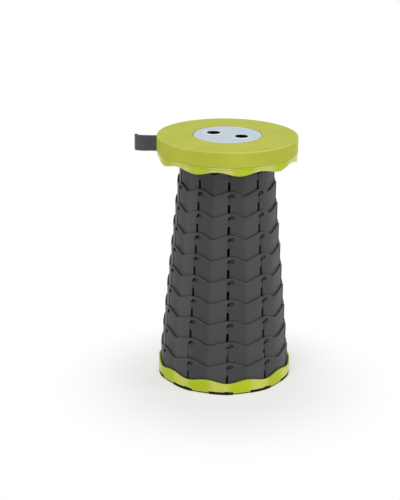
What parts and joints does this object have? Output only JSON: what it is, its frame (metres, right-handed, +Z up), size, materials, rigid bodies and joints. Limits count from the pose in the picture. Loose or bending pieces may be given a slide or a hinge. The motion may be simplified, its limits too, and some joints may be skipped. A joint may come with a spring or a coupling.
{
  "type": "collapsible telescopic stool",
  "caption": "Round-seated stool on nested tube sections that slide down into each other and lock with hooked slots; shown extended, with a carrying loop.",
  "frame": {"origin": "centre of the footprint, on the floor, on the tubes' axis", "axes": "+Z up along the tubes, -Y towards the front of the picture, +X to its right"},
  "size_m": [0.2901, 0.25, 0.4476],
  "materials": {
    "green_plastic": "satin moulded plastic",
    "bright_green_plastic": "glossy moulded plastic",
    "dark_plastic": "fine matt texture",
    "black_plastic": "matt",
    "disc_plastic": "satin",
    "rubber": "matt rubber",
    "screw_steel": "zinc plated",
    "webbing": "flat woven webbing"
  },
  "bodies": {
    "base": {"base_ring": "green_plastic", "base_plate": "black_plastic", "base_screws": "screw_steel", "foot_tread": "rubber", "section_10": "dark_plastic"},
    "section_09": {"section_09": "dark_plastic"},
    "section_08": {"section_08": "dark_plastic"},
    "section_07": {"section_07": "dark_plastic"},
    "section_06": {"section_06": "dark_plastic"},
    "section_05": {"section_05": "dark_plastic"},
    "section_04": {"section_04": "dark_plastic"},
    "section_03": {"section_03": "dark_plastic"},
    "section_02": {"section_02": "dark_plastic"},
    "section_01": {"section_01": "dark_plastic"},
    "seat": {"seat_cover": "green_plastic", "seat_skirt": "bright_green_plastic", "centre_disc": "disc_plastic", "disc_screws": "screw_steel", "seat_collar": "dark_plastic", "collar_screws": "screw_steel", "strap": "webbing", "strap_pin": "screw_steel"}
  },
  "joints": [
    {"name": "slide_section_09", "type": "slide", "parent": "base", "child": "section_09", "axis": [0, 0, 1], "range_m": [-0.038, 0]},
    {"name": "slide_section_08", "type": "slide", "parent": "section_09", "child": "section_08", "axis": [0, 0, 1], "range_m": [-0.038, 0]},
    {"name": "slide_section_07", "type": "slide", "parent": "section_08", "child": "section_07", "axis": [0, 0, 1], "range_m": [-0.038, 0]},
    {"name": "slide_section_06", "type": "slide", "parent": "section_07", "child": "section_06", "axis": [0, 0, 1], "range_m": [-0.038, 0]},
    {"name": "slide_section_05", "type": "slide", "parent": "section_06", "child": "section_05", "axis": [0, 0, 1], "range_m": [-0.038, 0]},
    {"name": "slide_section_04", "type": "slide", "parent": "section_05", "child": "section_04", "axis": [0, 0, 1], "range_m": [-0.038, 0]},
    {"name": "slide_section_03", "type": "slide", "parent": "section_04", "child": "section_03", "axis": [0, 0, 1], "range_m": [-0.038, 0]},
    {"name": "slide_section_02", "type": "slide", "parent": "section_03", "child": "section_02", "axis": [0, 0, 1], "range_m": [-0.038, 0]},
    {"name": "slide_section_01", "type": "slide", "parent": "section_02", "child": "section_01", "axis": [0, 0, 1], "range_m": [-0.038, 0]},
    {"name": "slide_seat", "type": "slide", "parent": "section_01", "child": "seat", "axis": [0, 0, 1], "range_m": [-0.038, 0]}
  ]
}
